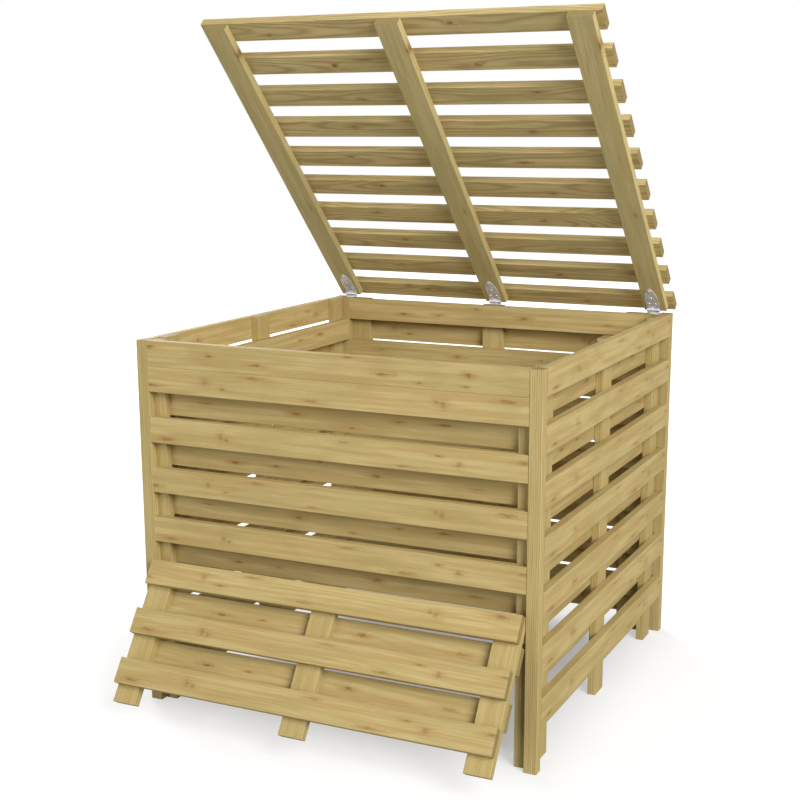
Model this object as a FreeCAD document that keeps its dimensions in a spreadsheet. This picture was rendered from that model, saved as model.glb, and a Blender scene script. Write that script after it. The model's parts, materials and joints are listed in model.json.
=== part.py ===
import FreeCAD, Part
import math
import os
import Sketcher

from FreeCAD import Placement, Rotation, Vector

# Wooden compost bin with a slatted lid and a slatted emptying flap.
# X is to the right, Y to the back and Z up, in millimetres. The origin is on
# the ground, in the middle of the foot of the middle back batten. The lid and
# the flap stand open by lid_open_angle and flap_open_angle; at zero both would
# be closed.

SIZES = [
    # name, value, what it is
    ("bin_width", 1000, "outside width over the edge boards"),
    ("bin_depth", 1000, "outside depth over the edge boards"),
    ("row_count", 14, "rows of slats from the rim to the ground gap"),
    ("door_rows", 5, "rows of slats that the flap covers"),
    ("slat_height", 60, "height of a wall slat"),
    ("row_gap", 0.05, "gap between one row and the next"),
    ("ground_gap", 42.8, "gap under the lowest row"),
    ("board_thick", 20, "thickness of every slat, batten and jamb"),
    ("batten_width", 60, "width of a wall, flap or lid batten"),
    ("edge_board_width", 30, "width of a corner edge board across the front"),
    ("edge_board_depth", 25, "depth of a corner edge board"),
    ("jamb_width", 30, "width of a doorway jamb"),
    ("edge_ease", 1.5, "radius of the eased long edges of the boards"),
    ("side_rear_batten", 52, "back of the bin to the rear batten, side walls"),
    ("back_batten_inset", 58, "side of the bin to an outer back batten"),
    ("rear_rail_height", 50, "height of the rail that carries the lid hinges"),
    ("rear_rail_drop", 7.5, "rim to the top of that rail"),
    ("lid_slat_width", 54.3, "width of a lid slat"),
    ("lid_slat_count", 10, "number of lid slats"),
    ("lid_side_overhang", 2, "lid slats past each side of the bin"),
    ("lid_front_inset", 4.25, "front of the bin to the front of the closed lid"),
    ("lid_batten_inset", 44, "side of the bin to the middle of an outer lid batten"),
    ("lid_batten_rear_inset", 18, "rear edge of the lid to the rear end of a lid batten"),
    ("lid_hinge_inset", 48, "side of the bin to the middle of an outer lid hinge"),
    ("lid_open_angle", 45.47, "angle of the lid from closed"),
    ("lid_rear_overhang", 26.5, "lid hinge pin to the rear edge of the lid"),
    ("lid_pin_rise", 8.7, "rim to the axis of the lid hinge pins"),
    ("lid_barrel_radius", 4.5, "outer radius of a lid hinge barrel"),
    ("lid_pin_radius", 2.25, "radius of a lid hinge pin"),
    ("lid_hinge_width", 34, "width of a lid hinge at its barrel"),
    ("lid_mid_knuckle", 12, "length of the middle knuckle of a lid hinge"),
    ("lid_barrel_gap", 0.3, "gap between a lid batten and the fixed barrels"),
    ("strap_length", 80, "hinge pin to the tip of a lid strap"),
    ("strap_tip_radius", 6, "radius of the round tip of a lid strap"),
    ("strap_straight", 40, "hinge pin to where the sides of a strap curve in"),
    ("strap_tip_hole", 71.5, "hinge pin to the tip screw of a strap"),
    ("strap_mid_hole", 43.5, "hinge pin to the middle screw of a strap"),
    ("strap_pair_hole", 21, "hinge pin to the pair of screws of a strap"),
    ("pair_hole_offset", 9, "middle of a hinge to each screw of a pair"),
    ("leaf_thick", 2, "thickness of the hinge plates"),
    ("flap_end_gap", 1, "gap between the flap and each edge board"),
    ("flap_ground_gap", 4.5, "gap under the flap battens when it is closed"),
    ("flap_open_angle", 33.96, "angle of the flap from closed"),
    ("flap_top_lap", 2, "edge of the doorway to the top of the flap"),
    ("flap_pin_drop", 30, "top of the flap to the axis of its hinge pins"),
    ("flap_barrel_radius", 3.5, "outer radius of a flap hinge barrel"),
    ("flap_pin_radius", 1.75, "radius of a flap hinge pin"),
    ("flap_hinge_width", 50, "width of a flap hinge"),
    ("flap_mid_knuckle", 18, "length of the middle knuckle of a flap hinge"),
    ("flap_leaf_rise", 25, "flap hinge pin to the top of its moving leaf"),
    ("flap_rail_drop", 5, "flap hinge pin to the top of the rail behind it"),
    ("flap_rail_height", 18, "height of the rail that carries the flap hinges"),
    ("flap_screw_offset", 16, "middle of a flap hinge to each of its screws"),
    ("knuckle_gap", 0.4, "gap between the knuckles of a hinge"),
    ("barrel_clear", 0.7, "gap between a barrel and the plate beside it"),
    ("pin_clear", 0.05, "radial running clearance of a pin in its barrel"),
    ("pin_show", 1, "length of pin that shows past each end of a barrel"),
    ("screw_head_radius", 3.4, "radius of a screw head"),
    ("screw_head_height", 1.4, "height of a screw head"),
    ("screw_radius", 1.6, "radius of a screw shank"),
    ("screw_length", 12, "length of a screw under its head"),
    ("screw_clear", 0.05, "radial clearance of a screw in its hole"),
    ("slot_width", 0.9, "width of the slot in a screw head"),
    ("slot_depth", 0.6, "depth of the slot in a screw head"),
]

doc = FreeCAD.newDocument("compost_bin")
sheet = doc.addObject("Spreadsheet::Sheet", "sizes")
for row, (name, value, meaning) in enumerate(SIZES, start=1):
    sheet.set(f"A{row}", name)
    sheet.set(f"B{row}", str(value))
    sheet.set(f"C{row}", meaning)
    sheet.setAlias(f"B{row}", name)
doc.recompute()

row_count = int(sheet.row_count)
door_rows = int(sheet.door_rows)
lid_slat_count = int(sheet.lid_slat_count)

# Places that several pieces share, written from the sizes
LEFT = "(-sizes.bin_width / 2)"
RIGHT = "(sizes.bin_width / 2)"
THICK = "sizes.board_thick"
BACK = f"(1.5 * {THICK})"
FRONT = f"({BACK} - sizes.bin_depth)"
ROW_PITCH = "(sizes.slat_height + sizes.row_gap)"
RIM = f"(sizes.ground_gap + sizes.row_count * {ROW_PITCH})"
INNER_LEFT = f"({LEFT} + sizes.edge_board_width)"
INNER_RIGHT = f"({RIGHT} - sizes.edge_board_width)"
DOOR_TOP = f"({RIM} - (sizes.row_count - sizes.door_rows) * {ROW_PITCH})"

LID_PIN = (
    f"({BACK} - {THICK} + sizes.leaf_thick - sizes.lid_barrel_radius)",
    f"({RIM} + sizes.lid_pin_rise)",
)
FLAP_PIN = (
    f"({FRONT} + sizes.flap_barrel_radius)",
    f"({DOOR_TOP} + sizes.flap_top_lap - sizes.flap_pin_drop)",
)
LID_SWING = (LID_PIN, "sizes.lid_open_angle")
FLAP_SWING = (FLAP_PIN, "sizes.flap_open_angle")

LONG_EDGES = {
    "x": ["Edge9", "Edge10", "Edge11", "Edge12"],
    "y": ["Edge2", "Edge4", "Edge6", "Edge8"],
    "z": ["Edge1", "Edge3", "Edge5", "Edge7"],
}
ACROSS = Vector(1, 0, 0)
nodes = []


def node(piece, label):
    """Name a finished piece and put it on the list that is written out."""
    piece.Label = label
    nodes.append(piece)
    return piece


def put(piece, x, y, z):
    """Place a piece at x, y and z, which are sums of named sizes."""
    piece.setExpression("Placement.Base.x", x)
    piece.setExpression("Placement.Base.y", y)
    piece.setExpression("Placement.Base.z", z)


def put_swung(piece, swing, x="0", y="0", z="0"):
    """Place a piece that turns about a hinge pin.

    x, y and z are measured from the pin with the lid or flap closed. Opening
    turns the piece about the X axis, the far edge up or out.
    """
    (pin_y, pin_z), angle = swing
    piece.Placement = Placement(Vector(), Rotation(ACROSS, -1))
    turned_y = f"({y}) * cos({angle}) + ({z}) * sin({angle})"
    turned_z = f"({z}) * cos({angle}) - ({y}) * sin({angle})"
    put(piece, x, f"{pin_y} + {turned_y}", f"{pin_z} + {turned_z}")
    piece.setExpression("Placement.Rotation.Angle", f"-{angle}")


def block(name, x_span, y_span, z_span):
    """A plain block between two places along each axis."""
    piece = doc.addObject("Part::Box", name)
    for side, (start, end) in zip(("Length", "Width", "Height"), (x_span, y_span, z_span)):
        piece.setExpression(side, f"({end}) - ({start})")
    put(piece, x_span[0], y_span[0], z_span[0])
    return piece


def rod(name, radius, x_span, y, z):
    """A round bar along X."""
    piece = doc.addObject("Part::Cylinder", name)
    piece.setExpression("Radius", radius)
    piece.setExpression("Height", f"({x_span[1]}) - ({x_span[0]})")
    piece.Placement = Placement(Vector(), Rotation(Vector(0, 1, 0), 90))
    put(piece, x_span[0], y, z)
    return piece


def board(name, grain, x_span, y_span, z_span, swing=None):
    """A sawn board with its four long edges eased; grain is its long axis."""
    body = doc.addObject("PartDesign::Body", name)
    plank = body.newObject("PartDesign::AdditiveBox", "plank")
    for side, (start, end) in zip(("Length", "Width", "Height"), (x_span, y_span, z_span)):
        plank.setExpression(side, f"({end}) - ({start})")
    doc.recompute()
    eased = body.newObject("PartDesign::Fillet", "eased_edges")
    eased.Base = (plank, LONG_EDGES[grain])
    eased.setExpression("Radius", "sizes.edge_ease")
    body.Tip = eased
    if swing:
        put_swung(body, swing, x_span[0], y_span[0], z_span[0])
    else:
        put(body, x_span[0], y_span[0], z_span[0])
    return body


def grouped(name, pieces):
    """Separate solids that share one node."""
    group = doc.addObject("Part::Compound", name)
    group.Links = pieces
    return group


def joined(name, pieces):
    """Pieces welded or rolled into one solid."""
    fused = doc.addObject("Part::MultiFuse", name)
    fused.Shapes = pieces
    return fused


def bored(name, piece, cutters):
    """A piece with holes or notches cut in it."""
    cut = doc.addObject("Part::Cut", name)
    cut.Base = piece
    cut.Tool = grouped(name + "_cutters", cutters)
    return cut


def from_middle(width):
    """A span of the given width, centred on zero."""
    return (f"-({width}) / 2", f"({width}) / 2")


def about(middle, width):
    """A span of the given width, centred on a place."""
    return (f"{middle} - ({width}) / 2", f"{middle} + ({width}) / 2")


def row_span(row):
    """The height that one row of slats takes up; row 1 is at the rim."""
    bottom = f"{RIM} - {row} * {ROW_PITCH}"
    return (bottom, f"{bottom} + sizes.slat_height")


def layer_in(face, number, inward=1):
    """One of the three board layers of a wall, counted in from its outer face."""
    sign = "+" if inward > 0 else "-"
    ends = [f"{face} {sign} {edge} * {THICK}" for edge in (number, number + 1)]
    return tuple(ends if inward > 0 else reversed(ends))


def row_group(name, grain, x_span, y_span, rows):
    """Slats of one layer that share a node, one in each of the given rows."""
    slats = [board(f"{name}_{row}", grain, x_span, y_span, row_span(row)) for row in rows]
    return node(grouped(name, slats), name)


# Corner edge boards and doorway jambs
edge_x = {
    "left": (LEFT, INNER_LEFT),
    "right": (INNER_RIGHT, RIGHT),
}
edge_y = {
    "front": (FRONT, f"{FRONT} + sizes.edge_board_depth"),
    "rear": (f"{BACK} - sizes.edge_board_depth", BACK),
}
for end in ("front", "rear"):
    for side in ("left", "right"):
        label = f"{end}_{side}_edge_board"
        node(board(label, "z", edge_x[side], edge_y[end], ("0", RIM)), label)

jamb_x = {
    "left": (INNER_LEFT, f"{INNER_LEFT} + sizes.jamb_width"),
    "right": (f"{INNER_RIGHT} - sizes.jamb_width", INNER_RIGHT),
}
for side in ("left", "right"):
    label = f"{side}_doorway_jamb"
    node(board(label, "z", jamb_x[side], layer_in(FRONT, 1), ("0", RIM)), label)

# Front wall above the doorway
fixed_rows = row_count - door_rows
front_outer_rows = [1] + list(range(2, fixed_rows + 1, 2))
front_inner_rows = list(range(3, fixed_rows + 1, 2))
for number, row in enumerate(front_outer_rows, start=1):
    label = f"front_outer_slat_{number}"
    slat = board(label, "x", (INNER_LEFT, INNER_RIGHT), layer_in(FRONT, 0), row_span(row))
    node(slat, label)
behind_side_slats = (f"{LEFT} + {THICK}", f"{RIGHT} - {THICK}")
row_group("front_inner_slats", "x", behind_side_slats, layer_in(FRONT, 2), front_inner_rows)

# Side walls: outer slats, upright battens, inner slats
side_outer_rows = range(1, row_count, 2)
side_inner_rows = range(2, row_count + 1, 2)
side_outer_y = (edge_y["front"][1], edge_y["rear"][0])
side_inner_y = (f"{FRONT} + 3 * {THICK}", f"{BACK} - 3 * {THICK}")
side_batten_starts = (
    f"{FRONT} + 3 * {THICK}",
    f"({FRONT} + {BACK} - sizes.batten_width) / 2",
    f"{BACK} - sizes.side_rear_batten - sizes.batten_width",
)
side_face = {"left": (LEFT, 1), "right": (RIGHT, -1)}

for number, row in enumerate(side_outer_rows, start=1):
    label = f"right_outer_slat_{number}"
    slat = board(label, "y", layer_in(RIGHT, 0, -1), side_outer_y, row_span(row))
    node(slat, label)
row_group("left_outer_slats", "y", layer_in(LEFT, 0), side_outer_y, side_outer_rows)

for side, (face, inward) in side_face.items():
    inner_x = layer_in(face, 2, inward)
    row_group(f"{side}_inner_slats", "y", inner_x, side_inner_y, side_inner_rows)
    battens = []
    for start in side_batten_starts:
        y_span = (start, f"{start} + sizes.batten_width")
        batten_x = layer_in(face, 1, inward)
        battens.append(board(f"{side}_batten", "z", batten_x, y_span, ("0", RIM)))
    node(grouped(f"{side}_battens", battens), f"{side}_battens")

# Back wall: inner slats, upright battens, corner posts, outer slats and the lid hinge rail
back_inner_x = (f"{LEFT} + 3 * {THICK}", f"{RIGHT} - 3 * {THICK}")
row_group("back_inner_slats", "x", back_inner_x, layer_in(BACK, 2, -1), side_outer_rows)
back_battens = []
back_batten_offset = f"({RIGHT} - sizes.back_batten_inset - sizes.batten_width / 2)"
for middle in (f"-{back_batten_offset}", "0", back_batten_offset):
    x_span = about(middle, "sizes.batten_width")
    back_battens.append(board("back_batten", "z", x_span, layer_in(BACK, 1, -1), ("0", RIM)))
post_z = (row_span("sizes.row_count")[0], RIM)
for side, (face, inward) in side_face.items():
    post_x = layer_in(face, 2, inward)
    post = board(f"{side}_corner_post", "z", post_x, layer_in(BACK, 2, -1), post_z)
    back_battens.append(post)
node(grouped("back_battens", back_battens), "back_battens")
back_outer_x = (INNER_LEFT, INNER_RIGHT)
row_group("back_outer_slats", "x", back_outer_x, layer_in(BACK, 0, -1), side_inner_rows)

rail_top = f"({RIM} - sizes.rear_rail_drop)"
rail_z = (f"{rail_top} - sizes.rear_rail_height", rail_top)
rear_rail = board("rear_rail_board", "x", back_outer_x, layer_in(BACK, 0, -1), rail_z)

# One slotted screw, head up, with its seat at the origin; copies are linked
screw_head = doc.addObject("Part::Cone", "screw_head")
screw_head.setExpression("Radius1", "sizes.screw_head_radius")
screw_head.setExpression("Radius2", "sizes.screw_head_radius - sizes.screw_head_height / 2")
screw_head.setExpression("Height", "sizes.screw_head_height")
screw_shank = doc.addObject("Part::Cylinder", "screw_shank")
screw_shank.setExpression("Radius", "sizes.screw_radius")
screw_shank.setExpression("Height", "sizes.screw_length + sizes.screw_head_height / 2")
screw_shank.setExpression("Placement.Base.z", "-sizes.screw_length")
screw_slot = block(
    "screw_slot",
    from_middle("sizes.slot_width"),
    from_middle("3 * sizes.screw_head_radius"),
    ("sizes.screw_head_height - sizes.slot_depth", "2 * sizes.screw_head_height"),
)
screw = bored("screw", joined("screw_blank", [screw_head, screw_shank]), [screw_slot])

screw_bore = doc.addObject("Part::Cylinder", "screw_bore")
screw_bore.setExpression("Radius", "sizes.screw_radius + sizes.screw_clear")
screw_bore.setExpression("Height", "2 * sizes.screw_length")
screw_bore.setExpression("Placement.Base.z", "-sizes.screw_length")
screw_cutter = grouped("screw_cutter", [screw_bore])

HEAD_UP = Rotation()
HEAD_DOWN = Rotation(ACROSS, 180)
HEAD_TO_BACK = Rotation(ACROSS, -90)
HEAD_TO_FRONT = Rotation(ACROSS, 90)


def copies(piece, name, places, facing):
    """Linked copies of a screw or of its cutter, one at each place."""
    made = []
    for x, y, z in places:
        copy = doc.addObject("App::Link", name)
        copy.LinkedObject = piece
        copy.Placement = Placement(Vector(), facing)
        put(copy, x, y, z)
        made.append(copy)
    return made


def cutter_copies(name, places, facing):
    """Clearance holes for screws, half above and half below each seat."""
    return copies(screw_cutter, name, places, facing)


def knuckle_spans(width, mid_knuckle, middle):
    """The middle knuckle of a hinge, and the two beside it."""
    half = f"({mid_knuckle}) / 2"
    near = f"({half} + sizes.knuckle_gap)"
    return (
        (f"{middle} - {half}", f"{middle} + {half}"),
        (f"{middle} - ({width}) / 2", f"{middle} - {near}"),
        (f"{middle} + {near}", f"{middle} + ({width}) / 2"),
    )


# Lid hinges: each has a pointed strap under a lid batten, and a cranked plate
# that stands behind the back battens and is screwed down on the rear rail
lid_hinge_offset = f"({RIGHT} - sizes.lid_hinge_inset)"
lid_middles = {
    "left": f"-{lid_hinge_offset}",
    "middle": "0",
    "right": lid_hinge_offset,
}
lid_under = "(sizes.lid_barrel_radius + sizes.lid_barrel_gap)"
strap_z = (f"{lid_under} - sizes.leaf_thick", lid_under)
strap_root = "(sizes.lid_barrel_radius + sizes.barrel_clear)"
lid_bore = "sizes.lid_pin_radius + sizes.pin_clear"


def strap_holes(middle):
    """Screw places of a strap, on the face that its screw heads bear on."""
    pair_y = "-sizes.strap_pair_hole"
    return [
        (middle, "-sizes.strap_tip_hole", strap_z[0]),
        (middle, "-sizes.strap_mid_hole", strap_z[0]),
        (f"{middle} - sizes.pair_hole_offset", pair_y, strap_z[0]),
        (f"{middle} + sizes.pair_hole_offset", pair_y, strap_z[0]),
    ]


def strap_outline(body):
    """Sketch of a strap from above: straight sides from its root, which then
    curve in and run into a round tip. The tip points along -Y."""
    root_y = -(sheet.lid_barrel_radius + sheet.barrel_clear)
    half_root = sheet.lid_hinge_width / 2
    knee_y = -sheet.strap_straight
    tip_radius = sheet.strap_tip_radius
    tip_y = tip_radius - sheet.strap_length
    curved = knee_y - tip_y
    spread = half_root**2 + curved**2 - tip_radius**2
    side_radius = spread / (2 * (half_root - tip_radius))
    turn = math.asin(curved / (side_radius - tip_radius))
    side_middle = half_root - side_radius

    def side_point(sign, angle):
        x = side_middle + side_radius * math.cos(angle)
        return Vector(sign * x, knee_y - side_radius * math.sin(angle))

    sketch = body.newObject("Sketcher::SketchObject", "strap_outline")
    plane = next(f for f in body.Origin.OriginFeatures if f.Role == "XY_Plane")
    sketch.AttachmentSupport = [(plane, "")]
    sketch.MapMode = "FlatFace"
    left = [Vector(-half_root, root_y)] + [side_point(-1, turn * part) for part in (0, 0.5, 1)]
    right = [Vector(half_root, root_y)] + [side_point(1, turn * part) for part in (0, 0.5, 1)]
    sketch.addGeometry(Part.LineSegment(right[0], left[0]))
    sketch.addGeometry(Part.LineSegment(left[0], left[1]))
    sketch.addGeometry(Part.Arc(left[1], left[2], left[3]))
    sketch.addGeometry(Part.Arc(left[3], Vector(0, tip_y - tip_radius), right[3]))
    sketch.addGeometry(Part.Arc(right[3], right[2], right[1]))
    sketch.addGeometry(Part.LineSegment(right[1], right[0]))
    constraint = sketch.addConstraint
    constraint(Sketcher.Constraint("Coincident", 0, 2, 1, 1))
    constraint(Sketcher.Constraint("Coincident", 5, 2, 0, 1))
    constraint(Sketcher.Constraint("Vertical", 1))
    for first in (1, 2, 3, 4):
        constraint(Sketcher.Constraint("Tangent", first, 2, first + 1, 1))
    constraint(Sketcher.Constraint("Symmetric", 0, 1, 0, 2, -2))
    constraint(Sketcher.Constraint("Symmetric", 1, 2, 5, 1, -2))
    constraint(Sketcher.Constraint("PointOnObject", 3, 3, -2))
    root = constraint(Sketcher.Constraint("DistanceY", 0, 1, -1, 1, -root_y))
    width = constraint(Sketcher.Constraint("DistanceX", 0, 2, 0, 1, 2 * half_root))
    straight = constraint(Sketcher.Constraint("DistanceY", 1, 2, -1, 1, -knee_y))
    radius = constraint(Sketcher.Constraint("Radius", 3, tip_radius))
    reach = constraint(Sketcher.Constraint("DistanceY", 3, 3, -1, 1, -tip_y))
    sketch.setExpression(f"Constraints[{root}]", strap_root)
    sketch.setExpression(f"Constraints[{width}]", "sizes.lid_hinge_width")
    sketch.setExpression(f"Constraints[{straight}]", "sizes.strap_straight")
    sketch.setExpression(f"Constraints[{radius}]", "sizes.strap_tip_radius")
    sketch.setExpression(f"Constraints[{reach}]", "sizes.strap_length - sizes.strap_tip_radius")
    return sketch


def lid_strap(label, middle):
    """The moving half of a lid hinge."""
    body = doc.addObject("PartDesign::Body", label + "_plate")
    outline = strap_outline(body)
    doc.recompute()
    pad = body.newObject("PartDesign::Pad", "strap_plate")
    pad.Profile = outline
    pad.setExpression("Length", "sizes.leaf_thick")
    body.Tip = pad
    put(body, middle, "0", strap_z[0])
    mid_span = knuckle_spans("sizes.lid_hinge_width", "sizes.lid_mid_knuckle", middle)[0]
    tongue = block(label + "_tongue", mid_span, (f"-2 * {strap_root}", "0"), strap_z)
    barrel = rod(label + "_barrel", "sizes.lid_barrel_radius", mid_span, "0", "0")
    bore = rod(label + "_bore", lid_bore, about(middle, "sizes.lid_hinge_width"), "0", "0")
    holes = cutter_copies(label + "_hole", strap_holes(middle), HEAD_DOWN)
    whole = joined(label + "_blank", [body, tongue, barrel])
    strap = bored(label, whole, [bore] + holes)
    put_swung(strap, LID_SWING)
    return node(strap, label)


def lid_plate(middle):
    """The fixed half of a lid hinge, in the bin's own frame."""
    pin_y, pin_z = LID_PIN
    name = "lid_hinge_plate"
    face_y = f"{BACK} - {THICK}"
    width = about(middle, "sizes.lid_hinge_width")
    web_y = (face_y, f"{face_y} + sizes.leaf_thick")
    web_top = f"{pin_z} - sizes.lid_barrel_radius - sizes.barrel_clear"
    web = block(name + "_web", width, web_y, (rail_top, web_top))
    foot_z = (rail_top, f"{rail_top} + sizes.leaf_thick")
    foot = block(name + "_foot", width, (face_y, BACK), foot_z)
    pieces = [web, foot]
    bores = [rod(name + "_bore", lid_bore, width, pin_y, pin_z)]
    for span in knuckle_spans("sizes.lid_hinge_width", "sizes.lid_mid_knuckle", middle)[1:]:
        pieces.append(block(name + "_tongue", span, web_y, (foot_z[1], pin_z)))
        pieces.append(rod(name + "_barrel", "sizes.lid_barrel_radius", span, pin_y, pin_z))
    holes = cutter_copies(name + "_hole", plate_holes(middle), HEAD_UP)
    return bored(name, joined(name + "_blank", pieces), bores + holes)


def plate_holes(middle):
    """Screw places of a cranked plate, on top of its foot."""
    foot_middle = f"{BACK} - {THICK} / 2 + sizes.leaf_thick"
    top = f"{rail_top} + sizes.leaf_thick"
    return [
        (f"{middle} - sizes.pair_hole_offset", foot_middle, top),
        (f"{middle} + sizes.pair_hole_offset", foot_middle, top),
    ]


def pin_group(name, middles, width, radius, pin):
    """The pins of a row of hinges."""
    pins = []
    for middle in middles:
        span = about(middle, f"{width} + 2 * sizes.pin_show")
        pins.append(rod(name + "_rod", radius, span, *pin))
    return node(grouped(name, pins), name)


for side, middle in lid_middles.items():
    lid_strap(f"lid_hinge_strap_{side}", middle)
plates = [lid_plate(middle) for middle in lid_middles.values()]
node(grouped("lid_hinge_plates", plates), "lid_hinge_plates")
pin_group(
    "lid_hinge_pins",
    lid_middles.values(),
    "sizes.lid_hinge_width",
    "sizes.lid_pin_radius",
    LID_PIN,
)
plate_places = [place for middle in lid_middles.values() for place in plate_holes(middle)]
rail_holes = cutter_copies("rear_rail_hole", plate_places, HEAD_UP)
node(bored("rear_hinge_rail", rear_rail, rail_holes), "rear_hinge_rail")
strap_places = [place for middle in lid_middles.values() for place in strap_holes(middle)]
strap_screws = grouped("lid_strap_screws", copies(screw, "strap_screw", strap_places, HEAD_DOWN))
put_swung(strap_screws, LID_SWING)
node(strap_screws, "lid_strap_screws")

# Lid: slats across three battens, measured from the hinge pin when closed
lid_slat_z = (f"{lid_under} + {THICK}", f"{lid_under} + 2 * {THICK}")
lid_length = "(sizes.bin_width + 2 * sizes.lid_side_overhang)"
lid_rear = "sizes.lid_rear_overhang"
lid_front = f"({FRONT} + sizes.lid_front_inset - {LID_PIN[0]})"
lid_pitch = f"({lid_rear} - {lid_front} - sizes.lid_slat_width) / (sizes.lid_slat_count - 1)"
for number in range(1, lid_slat_count + 1):
    label = f"lid_slat_{number}"
    rear = f"{lid_rear} - {number - 1} * {lid_pitch}"
    y_span = (f"{rear} - sizes.lid_slat_width", rear)
    slat = board(label, "x", from_middle(lid_length), y_span, lid_slat_z, LID_SWING)
    node(slat, label)

lid_batten_y = (lid_front, f"{lid_rear} - sizes.lid_batten_rear_inset")
lid_batten_offset = f"({RIGHT} - sizes.lid_batten_inset)"
lid_batten_middles = {
    "left": f"-{lid_batten_offset}",
    "middle": "0",
    "right": lid_batten_offset,
}
for side, middle in lid_middles.items():
    label = f"lid_batten_{side}"
    x_span = about(lid_batten_middles[side], "sizes.batten_width")
    z_span = (lid_under, f"{lid_under} + {THICK}")
    blank = board(label + "_blank", "y", x_span, lid_batten_y, z_span)
    holes = cutter_copies(label + "_hole", strap_holes(middle), HEAD_DOWN)
    batten = bored(label, blank, holes)
    put_swung(batten, LID_SWING)
    node(batten, label)

# Flap: slats across three battens, measured from the hinge pin when closed.
# Its inner slats lie between the edge boards, against the jambs.
flap_face = "-sizes.flap_barrel_radius"
flap_length = f"({INNER_RIGHT} - {INNER_LEFT} - 2 * sizes.flap_end_gap)"
flap_x = from_middle(flap_length)
flap_batten_offset = f"({flap_length} / 2 - sizes.batten_width / 2)"
flap_middles = {
    "left": f"-{flap_batten_offset}",
    "middle": "0",
    "right": flap_batten_offset,
}


def flap_row_span(row):
    """The height of a flap row from the pin; row 1 is the flap's top row."""
    bottom = f"sizes.flap_pin_drop - ({row} * {ROW_PITCH} - sizes.row_gap)"
    return (bottom, f"{bottom} + sizes.slat_height")


def flap_layer(number):
    """A board layer of the flap, counted out from the plane of its hinges."""
    inner = f"{flap_face} - {number} * {THICK}"
    return (f"{inner} - {THICK}", inner)


for number, row in enumerate(range(1, door_rows + 1, 2), start=1):
    label = f"flap_outer_slat_{number}"
    slat = board(label, "x", flap_x, flap_layer(1), flap_row_span(row), FLAP_SWING)
    node(slat, label)
inner_flap_slats = []
for row in range(2, door_rows + 1, 2):
    slat = board("flap_inner_slat", "x", flap_x, flap_layer(-1), flap_row_span(row), FLAP_SWING)
    inner_flap_slats.append(slat)
node(grouped("flap_inner_slats", inner_flap_slats), "flap_inner_slats")

flap_screw_rise = "(sizes.flap_leaf_rise / 2 + sizes.flap_barrel_radius / 2)"
flap_bore = "sizes.flap_pin_radius + sizes.pin_clear"
leaf_gap = "(sizes.flap_barrel_radius + sizes.barrel_clear)"
flap_rail_front = "sizes.flap_barrel_radius"
flap_rail_z = (
    "-(sizes.flap_rail_drop + sizes.flap_rail_height)",
    "-sizes.flap_rail_drop",
)


def moving_leaf_holes(middle):
    """Screw places of a moving leaf, on its rear face."""
    rear = f"{flap_face} + sizes.leaf_thick"
    return [
        (f"{middle} - sizes.flap_screw_offset", rear, flap_screw_rise),
        (f"{middle} + sizes.flap_screw_offset", rear, flap_screw_rise),
    ]


def fixed_leaf_holes(middle):
    """Screw places of a fixed leaf, on its front face, measured from the pin."""
    front = f"{flap_rail_front} - sizes.leaf_thick"
    drop = "-(sizes.flap_rail_drop + sizes.flap_rail_height / 2)"
    return [
        (f"{middle} - sizes.flap_screw_offset", front, drop),
        (f"{middle} + sizes.flap_screw_offset", front, drop),
    ]


def flap_leaf(name, middle, spans, leaf_y, leaf_z, tongue_z, holes):
    """One half of a flap hinge: a leaf, and a tongue and barrel per knuckle."""
    pieces = [block(name + "_leaf", about(middle, "sizes.flap_hinge_width"), leaf_y, leaf_z)]
    for span in spans:
        pieces.append(block(name + "_tongue", span, leaf_y, tongue_z))
        pieces.append(rod(name + "_barrel", "sizes.flap_barrel_radius", span, "0", "0"))
    bore = rod(name + "_bore", flap_bore, about(middle, "sizes.flap_hinge_width"), "0", "0")
    return bored(name, joined(name + "_blank", pieces), [bore] + holes)


moving_leaves = []
fixed_leaves = []
for middle in flap_middles.values():
    spans = knuckle_spans("sizes.flap_hinge_width", "sizes.flap_mid_knuckle", middle)
    moving_leaves.append(flap_leaf(
        "flap_moving_leaf",
        middle,
        spans[:1],
        (flap_face, f"{flap_face} + sizes.leaf_thick"),
        (leaf_gap, "sizes.flap_leaf_rise"),
        ("0", f"2 * {leaf_gap}"),
        cutter_copies("moving_leaf_hole", moving_leaf_holes(middle), HEAD_TO_BACK),
    ))
    fixed_leaves.append(flap_leaf(
        "flap_fixed_leaf",
        middle,
        spans[1:],
        (f"{flap_rail_front} - sizes.leaf_thick", flap_rail_front),
        (flap_rail_z[0], f"-{leaf_gap}"),
        (f"-2 * {leaf_gap}", "0"),
        cutter_copies("fixed_leaf_hole", fixed_leaf_holes(middle), HEAD_TO_FRONT),
    ))
moving_group = grouped("flap_hinge_moving_leaves", moving_leaves)
put_swung(moving_group, FLAP_SWING)
node(moving_group, "flap_hinge_moving_leaves")
fixed_group = grouped("flap_hinge_fixed_leaves", fixed_leaves)
put(fixed_group, "0", *FLAP_PIN)
node(fixed_group, "flap_hinge_fixed_leaves")
pin_group(
    "flap_hinge_pins",
    flap_middles.values(),
    "sizes.flap_hinge_width",
    "sizes.flap_pin_radius",
    FLAP_PIN,
)

flap_batten_z = (
    f"sizes.flap_ground_gap - {FLAP_PIN[1]}",
    "sizes.flap_pin_drop",
)
for side, middle in flap_middles.items():
    label = f"flap_batten_{side}"
    x_span = about(middle, "sizes.batten_width")
    blank = board(label + "_blank", "z", x_span, flap_layer(0), flap_batten_z)
    holes = cutter_copies(label + "_hole", moving_leaf_holes(middle), HEAD_TO_BACK)
    batten = bored(label, blank, holes)
    put_swung(batten, FLAP_SWING)
    node(batten, label)

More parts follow.
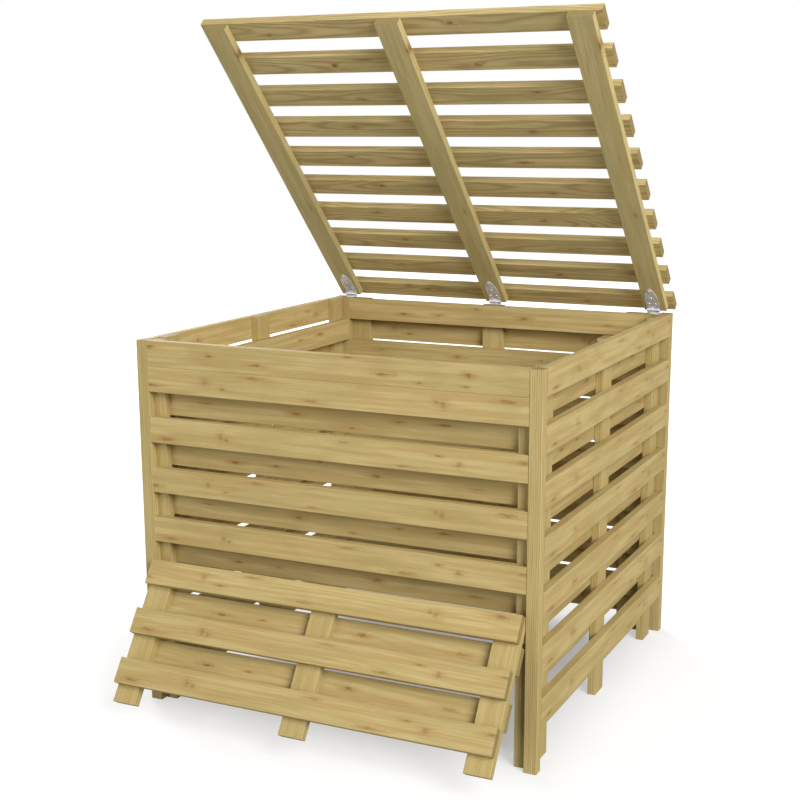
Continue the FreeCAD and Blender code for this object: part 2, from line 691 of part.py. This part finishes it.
moving_places = [place for middle in flap_middles.values() for place in moving_leaf_holes(middle)]
flap_screws = grouped("flap_hinge_screws", copies(screw, "flap_screw", moving_places, HEAD_TO_BACK))
put_swung(flap_screws, FLAP_SWING)
node(flap_screws, "flap_hinge_screws")

# Rail across the doorway that carries the fixed leaves of the flap hinges
jamb_front = f"({FRONT} + {THICK} - {FLAP_PIN[0]})"
rail_x = (INNER_LEFT, INNER_RIGHT)
rail_blank = board("flap_rail_board", "x", rail_x, (flap_rail_front, jamb_front), flap_rail_z)
fixed_places = [place for middle in flap_middles.values() for place in fixed_leaf_holes(middle)]
rail_cutters = cutter_copies("flap_rail_hole", fixed_places, HEAD_TO_FRONT)
flap_rail = bored("flap_hinge_rail", rail_blank, rail_cutters)
put(flap_rail, "0", *FLAP_PIN)
node(flap_rail, "flap_hinge_rail")

# Screws that hold the fixed halves of both rows of hinges
fixed_screws = copies(screw, "plate_screw", plate_places, HEAD_UP)
pin_y, pin_z = FLAP_PIN
leaf_places = [(x, f"{pin_y} + {y}", f"{pin_z} + {z}") for x, y, z in fixed_places]
fixed_screws += copies(screw, "leaf_screw", leaf_places, HEAD_TO_FRONT)
node(grouped("fixed_hinge_screws", fixed_screws), "fixed_hinge_screws")

doc.recompute()

failed = [o.Label for o in doc.Objects if {"Invalid", "Error"} & set(o.State)]
if failed:
    raise SystemExit("not built: " + ", ".join(failed))
for piece in nodes:
    if piece.Shape.isNull() or not piece.Shape.isValid():
        raise SystemExit("bad shape: " + piece.Label)

os.makedirs("parts", exist_ok=True)
for piece in nodes:
    piece.Shape.exportStep(f"parts/{piece.Label}.step")
    solids = len(piece.Shape.Solids)
    print(f"{piece.Label}: {solids} solids, {piece.Shape.Volume / 1000:.1f} cm3")
print(f"{len(nodes)} nodes")
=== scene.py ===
import json
import math

import bpy
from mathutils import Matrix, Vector

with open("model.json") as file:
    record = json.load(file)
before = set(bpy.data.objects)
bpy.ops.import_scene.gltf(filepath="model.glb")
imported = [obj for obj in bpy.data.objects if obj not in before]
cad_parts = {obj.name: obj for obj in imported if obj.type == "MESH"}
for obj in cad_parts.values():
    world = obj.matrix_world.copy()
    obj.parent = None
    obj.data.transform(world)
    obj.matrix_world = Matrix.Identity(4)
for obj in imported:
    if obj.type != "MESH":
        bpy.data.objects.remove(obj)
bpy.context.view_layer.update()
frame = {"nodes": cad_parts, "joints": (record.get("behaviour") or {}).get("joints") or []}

NODES = frame["nodes"]
JOINTS = {joint["name"]: joint for joint in frame["joints"]}

# Wall rows, in metres: the rim, the pitch of the rows, the gap above each slat and its width.
RIM = 0.8835
ROW_PITCH = 0.06005
ROW_GAP = 0.00005
SLAT_WIDTH = 0.060

# Lid and flap, each in its own flat frame at its hinge line.
LID_SWING = math.radians(45.47)
LID_REAR = 0.0265
LID_PITCH = 0.10505
LID_SLAT = 0.0543
LID_BATTEN_SPACING = 0.456
FLAP_SWING = math.radians(33.96)
FLAP_TOP = 0.030
FLAP_BATTEN_SPACING = 0.439

# The bin's footprint: half its width or depth, and its middle along Y.
BIN_HALF = 0.5
BIN_MIDDLE_Y = -0.470

# The camera, fitted to the straight edges in the photograph.
CAMERA_PLACE = (1.4364, -3.5677, 1.3488)
CAMERA_AIM = (0.0212, -0.5200, 0.6042)
CAMERA_SHIFT = (-0.0279, 0.05)
LENS_MM = 62.244
SENSOR_MM = 36.0

# The lamps as place, diameter and power, and the point they face.
LAMPS = {
    "key": ((7.30, -6.20, 5.40), 6.0, 1290.0),
    "fill": ((-4.50, -9.00, 2.20), 4.0, 180.0),
    "rear": ((-7.50, 6.00, 3.60), 6.0, 1100.0),
}
LAMP_AIM = (0.0, -0.5, 0.5)
SURROUND_LIGHT = 0.27

FLOOR_HALF = 14.0
FLOOR_DROP = 0.0004

# Noise in the wood: cycles per metre along and across a board, and a shift.
BANDS = (3.2, 75.0, 0.0)
PATCHES = (4.5, 22.0, 19.0)
STREAKS = (9.0, 330.0, 7.0)
FIBRES = (45.0, 1500.0, 2.0)
RING_DRIFT = (2.2, 6.0, 11.0)
RING_EDGE = (14.0, 160.0, 5.0)
KNOT_EDGE = (90.0, 260.0, 3.0)
SEED_SHIFT = (31.0, 17.0)

# Knots as (along, across, half length, half height, strength), from the middle of a board.
OUTER_KNOTS = [
    (-0.424, -0.018, 0.024, 0.0060, 0.66),
    (-0.277, -0.001, 0.008, 0.0100, 0.50),
    (-0.262, -0.005, 0.007, 0.0060, 0.50),
    (0.042, 0.018, 0.022, 0.0040, 0.50),
    (0.187, -0.021, 0.026, 0.0040, 0.58),
    (0.268, 0.009, 0.010, 0.0030, 0.72),
    (0.315, -0.004, 0.009, 0.0080, 0.45),
    (0.462, 0.013, 0.015, 0.0045, 0.62),
]
TOP_KNOTS = [
    (-0.466, 0.016, 0.015, 0.0050, 0.75),
    (-0.302, 0.004, 0.008, 0.0040, 0.90),
    (-0.178, -0.008, 0.018, 0.0040, 0.75),
    (0.054, 0.026, 0.013, 0.0030, 0.80),
    (0.135, -0.005, 0.017, 0.0040, 0.95),
    (0.223, -0.018, 0.007, 0.0030, 0.75),
    (0.335, 0.007, 0.009, 0.0050, 1.00),
    (0.328, -0.018, 0.007, 0.0030, 0.70),
]
INNER_KNOTS = [
    (-0.265, -0.007, 0.015, 0.0040, 0.90),
    (-0.155, -0.005, 0.010, 0.0030, 0.80),
    (-0.040, 0.018, 0.009, 0.0030, 0.70),
    (0.099, -0.001, 0.014, 0.0050, 0.80),
    (0.340, -0.006, 0.024, 0.0050, 0.50),
]
LID_KNOTS = {
    10: [(0.147, -0.006, 0.009, 0.0045, 1.00), (-0.330, 0.012, 0.012, 0.0040, 0.70)],
    9: [
        (-0.190, 0.004, 0.006, 0.0080, 1.00),
        (-0.100, -0.012, 0.030, 0.0060, 0.50),
        (0.176, 0.010, 0.009, 0.0040, 0.90),
    ],
    8: [(-0.155, 0.006, 0.008, 0.0030, 0.80), (0.300, -0.010, 0.014, 0.0040, 0.80)],
}
PLAIN_LID_KNOTS = [(-0.210, -0.008, 0.012, 0.0040, 0.80), (0.260, 0.009, 0.010, 0.0040, 0.80)]
# On a lid batten, along is counted from the hinge line.
BATTEN_KNOTS = [(-0.892, 0.030, 0.012, 0.0060, 0.80), (-0.360, 0.012, 0.010, 0.0035, 0.60)]


def tone(red, green, blue):
    """A colour written as screen values from 0 to 255, as linear light."""
    linear = []
    for value in (red, green, blue):
        part = value / 255.0
        linear.append(part / 12.92 if part <= 0.04045 else ((part + 0.055) / 1.055) ** 2.4)
    return (*linear, 1.0)


class Tree:
    """A node tree under construction."""

    def __init__(self, tree):
        self.tree = tree
        tree.nodes.clear()

    def node(self, kind, inputs=None, **settings):
        made = self.tree.nodes.new(kind)
        for name, value in settings.items():
            setattr(made, name, value)
        for key, value in (inputs or {}).items():
            self.feed(made.inputs[key], value)
        return made

    def feed(self, socket, value):
        if isinstance(value, bpy.types.NodeSocket):
            self.tree.links.new(value, socket)
        else:
            socket.default_value = value

    def math(self, operation, first, second=0.0, third=0.0, clamp=False):
        inputs = {0: first, 1: second, 2: third}
        return self.node("ShaderNodeMath", inputs, operation=operation, use_clamp=clamp).outputs[0]

    def line(self, value, factor, shift=0.0):
        return self.math("MULTIPLY_ADD", value, factor, shift)

    def vector(self, x, y, z):
        return self.node("ShaderNodeCombineXYZ", {0: x, 1: y, 2: z}).outputs[0]

    def length(self, vector):
        return self.node("ShaderNodeVectorMath", {0: vector}, operation="LENGTH").outputs["Value"]

    def scaled(self, vector, factor):
        inputs = {0: vector, "Scale": factor}
        return self.node("ShaderNodeVectorMath", inputs, operation="SCALE").outputs[0]

    def noise(self, vector, detail=2.0, roughness=0.5):
        inputs = {"Vector": vector, "Scale": 1.0, "Detail": detail, "Roughness": roughness}
        return self.node("ShaderNodeTexNoise", inputs).outputs[0]

    def ramp(self, value, low, high, to_low=0.0, to_high=1.0):
        inputs = {0: value, 1: low, 2: high, 3: to_low, 4: to_high}
        made = self.node("ShaderNodeMapRange", inputs, interpolation_type="SMOOTHSTEP")
        return made.outputs[0]

    def mix(self, factor, first, second):
        inputs = {0: factor, 6: first, 7: second}
        return self.node("ShaderNodeMix", inputs, data_type="RGBA").outputs[2]

    def bump(self, height, strength, distance):
        inputs = {"Strength": strength, "Distance": distance, "Height": height}
        return self.node("ShaderNodeBump", inputs).outputs[0]


class Board:
    """Where a point lies on its board: along, across and through it, with the board's own seed."""

    def __init__(self, along, across, depth, end, seed):
        self.along = along
        self.across = across
        self.depth = depth
        self.end = end
        self.seed = seed


def start_material(name):
    material = bpy.data.materials.new(name)
    material.use_nodes = True
    return material, Tree(material.node_tree)


def rest_axes(tree, pivot=(0.0, 0.0, 0.0), swing=0.0):
    """The point and its normal at rest, turned flat about a hinge line along X."""
    source = tree.node("ShaderNodeTexCoord")
    point = tree.node(
        "ShaderNodeVectorRotate",
        {"Vector": source.outputs["Object"], "Center": pivot, "Angle": swing},
        rotation_type="X_AXIS",
    ).outputs[0]
    local = tree.node("ShaderNodeVectorMath", {0: point, 1: pivot}, operation="SUBTRACT").outputs[0]
    facing = tree.node(
        "ShaderNodeVectorRotate",
        {"Vector": source.outputs["Normal"], "Angle": swing},
        rotation_type="X_AXIS",
    ).outputs[0]
    axes = tree.node("ShaderNodeSeparateXYZ", {0: local}).outputs
    normal = tree.node("ShaderNodeSeparateXYZ", {0: facing}).outputs
    return axes, normal


def board_seed(tree, cell, shift):
    """A number from 0 to 1 that differs from board to board."""
    return tree.node(
        "ShaderNodeTexWhiteNoise", {"W": tree.line(cell, 1.0, shift)}, noise_dimensions="1D"
    ).outputs[0]


def end_mask(tree, normal):
    return tree.ramp(tree.math("ABSOLUTE", normal), 0.75, 0.9)


def wall_board(tree, shift, along=0, centre=0.0):
    """A slat of a wall: along X or Y, with its row read from the height."""
    axes, normal = rest_axes(tree)
    below = tree.line(axes[2], -1.0 / ROW_PITCH, (RIM - ROW_GAP / 2) / ROW_PITCH)
    cell = tree.math("FLOOR", below)
    middle = RIM - ROW_GAP - SLAT_WIDTH / 2
    across = tree.math("ADD", tree.line(cell, ROW_PITCH, -middle), axes[2])
    seed = board_seed(tree, cell, shift)
    length = tree.line(axes[along], 1.0, -centre)
    return Board(length, across, axes[1 - along], end_mask(tree, normal[along]), seed), cell


def upright_board(tree, shift, across=0, piece=0.2):
    """A board that stands: along Z, with the pieces of one node told apart across it."""
    axes, normal = rest_axes(tree)
    cell = tree.math("ROUND", tree.math("DIVIDE", axes[across], piece))
    seed = board_seed(tree, cell, shift)
    return Board(axes[2], axes[across], axes[1 - across], end_mask(tree, normal[2]), seed)


def rail_board(tree, shift):
    axes, normal = rest_axes(tree)
    seed = board_seed(tree, 0.0, shift)
    return Board(axes[0], axes[2], axes[1], end_mask(tree, normal[0]), seed)


def lid_slat_board(tree, shift):
    axes, normal = rest_axes(tree, JOINTS["lid_hinge"]["pos_m"], LID_SWING)
    spare = (LID_PITCH - LID_SLAT) / 2
    from_rear = tree.line(axes[1], -1.0 / LID_PITCH, (LID_REAR + spare) / LID_PITCH)
    cell = tree.math("FLOOR", from_rear)
    middle = LID_REAR - LID_SLAT / 2
    across = tree.math("ADD", tree.line(cell, LID_PITCH, -middle), axes[1])
    seed = board_seed(tree, cell, shift)
    return Board(axes[0], across, axes[2], end_mask(tree, normal[0]), seed)


def swung_batten_board(tree, shift, joint, swing, along, spacing):
    """A batten of the lid or the flap, along the panel's own depth."""
    axes, normal = rest_axes(tree, JOINTS[joint]["pos_m"], swing)
    cell = tree.math("ROUND", tree.math("DIVIDE", axes[0], spacing))
    across = tree.math("ADD", tree.line(cell, -spacing), axes[0])
    seed = board_seed(tree, cell, shift)
    return Board(axes[along], across, axes[3 - along], end_mask(tree, normal[along]), seed)


def flap_slat_board(tree, shift):
    axes, normal = rest_axes(tree, JOINTS["flap_hinge"]["pos_m"], FLAP_SWING)
    below = tree.line(axes[2], -1.0 / ROW_PITCH, (FLAP_TOP + ROW_GAP / 2) / ROW_PITCH)
    cell = tree.math("FLOOR", below)
    across = tree.math("ADD", tree.line(cell, ROW_PITCH), axes[2])
    seed = board_seed(tree, cell, shift)
    return Board(axes[0], across, axes[1], end_mask(tree, normal[0]), seed)


def stretched(tree, board, layer):
    """Coordinates for a noise that is drawn out along the board, different on every board."""
    lengthwise, crosswise, shift = layer
    along = tree.line(board.along, lengthwise, shift)
    across = tree.line(board.across, crosswise, shift)
    return tree.vector(
        tree.math("ADD", along, tree.line(board.seed, SEED_SHIFT[0])),
        tree.math("ADD", across, tree.line(board.seed, SEED_SHIFT[1])),
        tree.line(board.depth, crosswise, shift),
    )


def knot_marks(tree, board, knots, turn, fibre):
    """The hearts and the halos of a board's knots, drawn out along its fibres.

    turn is 1, -1 or a socket with that sign.
    """
    along = tree.math("MULTIPLY", board.along, turn)
    across = tree.math("MULTIPLY", board.across, turn)
    wobble = tree.line(tree.noise(stretched(tree, board, KNOT_EDGE), 2.0, 0.6), 1.5, -0.75)
    marks = {"heart": 0.0, "halo": 0.0}
    shapes = {"heart": (1.0, 1.0, 1.2), "halo": (2.4, 1.7, 1.5)}
    for at, up, half_length, half_height, strength in knots:
        for part, (longer, taller, rim) in shapes.items():
            offset = tree.vector(
                tree.line(along, 1.0 / (longer * half_length), -at / (longer * half_length)),
                tree.line(across, 1.0 / (taller * half_height), -up / (taller * half_height)),
                0.0,
            )
            reach = tree.math("ADD", tree.length(offset), wobble)
            mark = tree.ramp(reach, rim, 0.0, 0.0, strength)
            marks[part] = tree.math("MAXIMUM", marks[part], mark)
    patchy = tree.ramp(fibre, 0.3, 0.7, 0.65, 1.1)
    return [tree.math("MULTIPLY", mark, patchy) for mark in marks.values()]


def ring_lines(tree, board, halo, spacing, pith, wander):
    """Growth rings, cut lengthwise by the board's faces. pith is None for straight grain."""
    drift = tree.noise(stretched(tree, board, RING_DRIFT), 1.0)
    sway = tree.line(drift, wander, -wander / 2)
    if pith is None:
        leaning = tree.math("ADD", board.across, tree.line(board.depth, 0.6))
        distance = tree.math("ADD", leaning, sway)
    else:
        side = tree.line(board.seed, 0.05, pith[0] - 0.025)
        offset = tree.vector(
            tree.math("ADD", tree.math("SUBTRACT", board.across, side), tree.line(sway, 0.8)),
            tree.math("ADD", tree.line(board.depth, 1.0, -pith[1]), sway),
            0.0,
        )
        distance = tree.length(offset)
    distance = tree.math("ADD", distance, tree.line(halo, 0.005))
    ragged = tree.noise(stretched(tree, board, RING_EDGE), 2.0)
    phase = tree.math("ADD", tree.math("DIVIDE", distance, spacing), tree.line(ragged, 0.55))
    wave = tree.math("SINE", tree.math("MULTIPLY", phase, 2 * math.pi))
    return tree.math("POWER", tree.line(wave, 0.5, 0.5), 2.5)


def finish_wood(tree, material, board, look, knots=(), turn=1.0):
    """Impregnated pine: soft bands, rings, fibres, knots and end grain, with bump and roughness."""
    streaks = tree.noise(stretched(tree, board, STREAKS), 2.0, 0.6)
    heart, halo = knot_marks(tree, board, knots, turn, streaks)
    rings = ring_lines(tree, board, halo, look["rings"], look["pith"], look["wander"])
    bands = tree.noise(stretched(tree, board, BANDS), 3.0, 0.55)
    patches = tree.noise(stretched(tree, board, PATCHES), 2.0)
    fibres = tree.noise(stretched(tree, board, FIBRES), 2.0, 0.6)

    colour = tree.mix(tree.ramp(bands, 0.41, 0.6), look["warm"], look["light"])
    green = tree.ramp(patches, 0.42, 0.66, 0.0, look["green_share"])
    colour = tree.mix(green, colour, look["green"])
    streak = tree.ramp(streaks, 0.5, 0.72, 0.0, look["streak_share"])
    colour = tree.mix(streak, colour, look["streak"])
    colour = tree.mix(tree.math("MULTIPLY", rings, look["ring_share"]), colour, look["ring"])
    colour = tree.mix(tree.math("MULTIPLY", halo, HALO_SHARE), colour, HALO)
    colour = tree.mix(tree.math("MULTIPLY", heart, HEART_SHARE), colour, HEART)
    ends = tree.mix(rings, END_LIGHT, END_DARK)
    colour = tree.mix(tree.math("MULTIPLY", board.end, END_SHARE), colour, ends)
    fibre_shade = tree.ramp(fibres, 0.3, 0.7, 0.955, 1.03)
    board_shade = tree.line(board.seed, 0.05, 0.81)
    colour = tree.scaled(colour, tree.math("MULTIPLY", fibre_shade, board_shade))

    height = tree.math("ADD", tree.line(fibres, 0.5), tree.line(rings, -0.25))
    height = tree.math("ADD", height, tree.line(streaks, 0.4))
    shader = tree.node(
        "ShaderNodeBsdfPrincipled",
        {
            "Base Color": colour,
            "Roughness": tree.ramp(streaks, 0.3, 0.7, 0.58, 0.74),
            "Specular IOR Level": 0.06,
            "Normal": tree.bump(height, 0.35, 0.0006),
        },
    )
    tree.node("ShaderNodeOutputMaterial", {"Surface": shader.outputs[0]})
    return material


HALO = tone(172, 130, 76)
HALO_SHARE = 0.7
HEART = tone(122, 87, 45)
HEART_SHARE = 0.88
END_LIGHT = tone(156, 136, 88)
END_DARK = tone(128, 106, 64)
END_SHARE = 0.8

# rings is the rings' spacing, pith the place of their centre, wander how far they stray, in metres.
SLAT_LOOK = {
    "light": tone(205, 184, 128),
    "warm": tone(193, 167, 110),
    "green": tone(180, 165, 108),
    "streak": tone(170, 141, 88),
    "ring": tone(170, 141, 88),
    "green_share": 0.4,
    "streak_share": 0.28,
    "ring_share": 0.22,
    "rings": 0.0062,
    "pith": (0.0, -0.060),
    "wander": 0.030,
}
UPRIGHT_LOOK = {
    **SLAT_LOOK,
    "light": tone(204, 184, 128),
    "warm": tone(196, 174, 114),
    "streak": tone(168, 140, 86),
    "ring": tone(146, 118, 66),
    "green_share": 0.25,
    "streak_share": 0.45,
    "ring_share": 0.45,
    "rings": 0.0036,
    "pith": None,
    "wander": 0.006,
}
# The lid's slats: greener wood with wider rings, in tones painted lighter than the walls' to stand
# in for light that the lid's underside doesn't get.
LID_GRAIN_AND_PAINTED_LIGHT = {
    **SLAT_LOOK,
    "light": tone(224, 203, 145),
    "warm": tone(213, 187, 130),
    "green": tone(197, 183, 125),
    "streak": tone(172, 144, 92),
    "ring": tone(152, 126, 78),
    "green_share": 0.7,
    "ring_share": 0.5,
    "rings": 0.0052,
    "pith": (0.004, 0.060),
    "wander": 0.045,
}
EDGE_LOOK = {
    **UPRIGHT_LOOK,
    "ring_share": 0.42,
    "rings": 0.0048,
    "wander": 0.030,
}
# The lid's battens: greener wood with fainter rings, in tones painted lighter to stand in for light
# that the lid's underside doesn't get.
LID_BATTEN_GRAIN_AND_PAINTED_LIGHT = {
    **UPRIGHT_LOOK,
    "light": tone(217, 199, 144),
    "warm": tone(210, 190, 130),
    "green": tone(196, 185, 130),
    "green_share": 0.6,
    "ring_share": 0.16,
    "rings": 0.0044,
}


def slat_material(name, shift, knots, turn=1.0, along=0, centre=0.0):
    """Slats of a wall. turn is 1 or -1 for boards one way round, or None to change by rows."""
    material, tree = start_material(name)
    board, cell = wall_board(tree, shift, along, centre)
    if turn is None:
        pair = tree.math("FLOOR", tree.line(cell, 0.5, 0.5))
        odd = tree.math("FLOORED_MODULO", pair, 2.0)
        turn = tree.line(odd, -2.0, 1.0)
    return finish_wood(tree, material, board, SLAT_LOOK, knots, turn)


def upright_material(name, shift, across=0, piece=0.2, look=UPRIGHT_LOOK):
    material, tree = start_material(name)
    return finish_wood(tree, material, upright_board(tree, shift, across, piece), look)


def rail_material():
    material, tree = start_material("rail wood")
    return finish_wood(tree, material, rail_board(tree, 88.0), SLAT_LOOK)


def lid_slat_material(number):
    material, tree = start_material(f"lid slat wood {number}")
    board = lid_slat_board(tree, 40.0)
    knots = LID_KNOTS.get(number, PLAIN_LID_KNOTS)
    turn = 1.0 if number in LID_KNOTS or number % 2 else -1.0
    return finish_wood(tree, material, board, LID_GRAIN_AND_PAINTED_LIGHT, knots, turn)


def lid_batten_material():
    material, tree = start_material("lid batten wood")
    board = swung_batten_board(tree, 57.0, "lid_hinge", LID_SWING, 1, LID_BATTEN_SPACING)
    return finish_wood(tree, material, board, LID_BATTEN_GRAIN_AND_PAINTED_LIGHT, BATTEN_KNOTS)


def flap_slat_material(name, shift, knots, turn):
    material, tree = start_material(name)
    return finish_wood(tree, material, flap_slat_board(tree, shift), SLAT_LOOK, knots, turn)


def flap_batten_material():
    material, tree = start_material("flap batten wood")
    board = swung_batten_board(tree, 71.0, "flap_hinge", FLAP_SWING, 2, FLAP_BATTEN_SPACING)
    return finish_wood(tree, material, board, UPRIGHT_LOOK)


def zinc_material(name, light, dark, grain):
    """Dull zinc plate: crystal patches, rubbed streaks and fine pits."""
    material, tree = start_material(name)
    point = tree.node("ShaderNodeTexCoord").outputs["Object"]
    crystals = tree.node(
        "ShaderNodeTexVoronoi", {"Vector": point, "Scale": grain, "Randomness": 1.0}
    ).outputs["Color"]
    patch = tree.node("ShaderNodeSeparateColor", {0: crystals}).outputs[0]
    cloud = tree.noise(tree.scaled(point, 90.0), 3.0, 0.6)
    pits = tree.noise(tree.scaled(point, 1400.0), 2.0)
    rubbed = tree.ramp(cloud, 0.35, 0.68, 0.0, 0.55)
    share = tree.math("ADD", tree.line(patch, 0.45), rubbed, clamp=True)
    colour = tree.mix(share, light, dark)
    shader = tree.node(
        "ShaderNodeBsdfPrincipled",
        {
            "Base Color": colour,
            "Metallic": 0.5,
            "Roughness": tree.ramp(cloud, 0.3, 0.7, 0.42, 0.62),
            "Normal": tree.bump(pits, 0.25, 0.0002),
        },
    )
    tree.node("ShaderNodeOutputMaterial", {"Surface": shader.outputs[0]})
    return material


def paint(material, *names):
    for name in names:
        for slot in NODES[name].material_slots:
            slot.material = material


def paint_walls():
    front = {
        1: slat_material("front top slat wood", 12.0, TOP_KNOTS),
        2: slat_material("front slat wood turned", 2.0, OUTER_KNOTS, -1.0),
        3: slat_material("front slat wood", 3.0, OUTER_KNOTS),
    }
    for number, kind in enumerate((1, 2, 3, 2, 3), start=1):
        paint(front[kind], f"front_outer_slat_{number}")
    paint(slat_material("front inner slat wood", 4.0, INNER_KNOTS, None), "front_inner_slats")
    right = slat_material("right slat wood", 5.0, OUTER_KNOTS, 1.0, 1, BIN_MIDDLE_Y)
    paint(right, *(f"right_outer_slat_{number}" for number in range(1, 8)))
    left = slat_material("left slat wood", 6.0, OUTER_KNOTS, None, 1, BIN_MIDDLE_Y)
    paint(left, "left_outer_slats")
    inner = slat_material("side inner slat wood", 7.0, INNER_KNOTS, None, 1, BIN_MIDDLE_Y)
    paint(inner, "left_inner_slats", "right_inner_slats")
    paint(slat_material("back slat wood", 8.0, OUTER_KNOTS, None), "back_outer_slats")
    paint(slat_material("back inner slat wood", 9.0, INNER_KNOTS, None), "back_inner_slats")
    edges = upright_material("edge board wood", 21.0, 0, 0.5, EDGE_LOOK)
    paint(edges, "front_left_edge_board", "front_right_edge_board")
    rear_edges = upright_material("rear edge board wood", 23.0, 0, 0.5, EDGE_LOOK)
    paint(rear_edges, "rear_left_edge_board", "rear_right_edge_board")
    paint(upright_material("jamb wood", 25.0), "left_doorway_jamb", "right_doorway_jamb")
    paint(upright_material("side batten wood", 27.0, 1), "left_battens", "right_battens")
    paint(upright_material("back batten wood", 29.0), "back_battens")
    paint(rail_material(), "rear_hinge_rail", "flap_hinge_rail")


def paint_lid():
    for number in range(1, 11):
        paint(lid_slat_material(number), f"lid_slat_{number}")
    paint(lid_batten_material(), "lid_batten_left", "lid_batten_middle", "lid_batten_right")


def paint_flap():
    turned = flap_slat_material("flap slat wood turned", 61.0, OUTER_KNOTS, -1.0)
    straight = flap_slat_material("flap slat wood", 62.0, OUTER_KNOTS, 1.0)
    paint(turned, "flap_outer_slat_1")
    paint(straight, "flap_outer_slat_2", "flap_outer_slat_3")
    paint(flap_slat_material("flap inner slat wood", 63.0, INNER_KNOTS, 1.0), "flap_inner_slats")
    paint(flap_batten_material(), "flap_batten_left", "flap_batten_middle", "flap_batten_right")


def paint_metal():
    plate = zinc_material("zinc plate", tone(236, 236, 240), tone(190, 190, 196), 160.0)
    paint(
        plate,
        "lid_hinge_strap_left",
        "lid_hinge_strap_middle",
        "lid_hinge_strap_right",
        "lid_hinge_plates",
        "flap_hinge_moving_leaves",
        "flap_hinge_fixed_leaves",
    )
    bright = zinc_material("zinc screw", tone(228, 226, 222), tone(192, 190, 186), 420.0)
    paint(
        bright,
        "lid_hinge_pins",
        "lid_strap_screws",
        "flap_hinge_pins",
        "flap_hinge_screws",
        "fixed_hinge_screws",
    )


def add_object(name, data):
    made = bpy.data.objects.new(name, data)
    bpy.context.scene.collection.objects.link(made)
    return made


def point_at(thing, place, aim):
    thing.location = place
    thing.rotation_euler = (Vector(aim) - Vector(place)).to_track_quat("-Z", "Y").to_euler()


def seen_directly(tree):
    """1 for rays from the camera, a mirror or glass, and 0 for the light on the object."""
    path = tree.node("ShaderNodeLightPath").outputs
    mirrored = tree.math("MAXIMUM", path["Is Glossy Ray"], path["Is Transmission Ray"])
    return tree.math("MAXIMUM", path["Is Camera Ray"], mirrored)


def light_studio():
    """A white surround, a large soft lamp from the right, and weaker left and rear ones."""
    world = bpy.data.worlds.new("studio")
    bpy.context.scene.world = world
    world.use_nodes = True
    tree = Tree(world.node_tree)
    soft_light = {"Color": (1.0, 0.99, 0.97, 1.0), "Strength": SURROUND_LIGHT}
    glow_painted_darker_at_bin = {"Color": (1.0, 1.0, 1.0, 1.0), "Strength": 1.0}
    lit = tree.node("ShaderNodeBackground", soft_light)
    seen = tree.node("ShaderNodeBackground", glow_painted_darker_at_bin)
    both = tree.node(
        "ShaderNodeMixShader", {0: seen_directly(tree), 1: lit.outputs[0], 2: seen.outputs[0]}
    )
    tree.node("ShaderNodeOutputWorld", {"Surface": both.outputs[0]})

    for name, (place, size, power) in LAMPS.items():
        data = bpy.data.lights.new(name, "AREA")
        data.shape = "DISK"
        data.size = size
        data.energy = power
        point_at(add_object(name, data), place, LAMP_AIM)


def lay_floor():
    """A pale floor that keeps its shadows and glows white further off; the glow, seen only from the
    camera and in mirrors, is painted weaker under and near the bin as shade.
    """
    mesh = bpy.data.meshes.new("floor")
    signs = ((-1, -1), (1, -1), (1, 1), (-1, 1))
    corners = [(x * FLOOR_HALF, y * FLOOR_HALF, -FLOOR_DROP) for x, y in signs]
    mesh.from_pydata(corners, [], [(0, 1, 2, 3)])
    floor = add_object("floor", mesh)
    material, tree = start_material("floor")
    point = tree.node("ShaderNodeTexCoord").outputs["Object"]
    cloud = tree.noise(point, 2.0)
    colour = tree.mix(cloud, (0.35, 0.35, 0.348, 1.0), (0.38, 0.38, 0.378, 1.0))
    matt = tree.node("ShaderNodeBsdfDiffuse", {"Color": colour})
    axes = tree.node("ShaderNodeSeparateXYZ", {0: point}).outputs
    beside = tree.line(tree.math("ABSOLUTE", axes[0]), 1.0, -BIN_HALF)
    lengthwise = tree.line(axes[1], 1.0, -BIN_MIDDLE_Y)
    before = tree.line(tree.math("ABSOLUTE", lengthwise), 1.0, -BIN_HALF)
    away = tree.math("MAXIMUM", beside, before)
    # Painted shade: the glow is weaker under and close to the bin and grows with the distance from
    # it.
    painted_shade_glow_near_bin = tree.ramp(away, -0.25, 0.12, 0.27, 0.68)
    glow_painted_darker_at_bin = tree.math("ADD", painted_shade_glow_near_bin, tree.ramp(away, 0.1, 1.1, 0.0, 0.31))
    strength = tree.math("MULTIPLY", glow_painted_darker_at_bin, seen_directly(tree))
    glow = tree.node("ShaderNodeEmission", {"Strength": strength})
    both = tree.node("ShaderNodeAddShader", {0: matt.outputs[0], 1: glow.outputs[0]})
    tree.node("ShaderNodeOutputMaterial", {"Surface": both.outputs[0]})
    mesh.materials.append(material)


def place_camera():
    data = bpy.data.cameras.new("camera")
    data.sensor_width = SENSOR_MM
    data.lens = LENS_MM
    data.shift_x, data.shift_y = CAMERA_SHIFT
    data.clip_start = 0.05
    camera = add_object("camera", data)
    point_at(camera, CAMERA_PLACE, CAMERA_AIM)
    bpy.context.scene.camera = camera


paint_walls()
paint_lid()
paint_flap()
paint_metal()
light_studio()
lay_floor()
place_camera()
bpy.context.scene.view_settings.view_transform = "Standard"
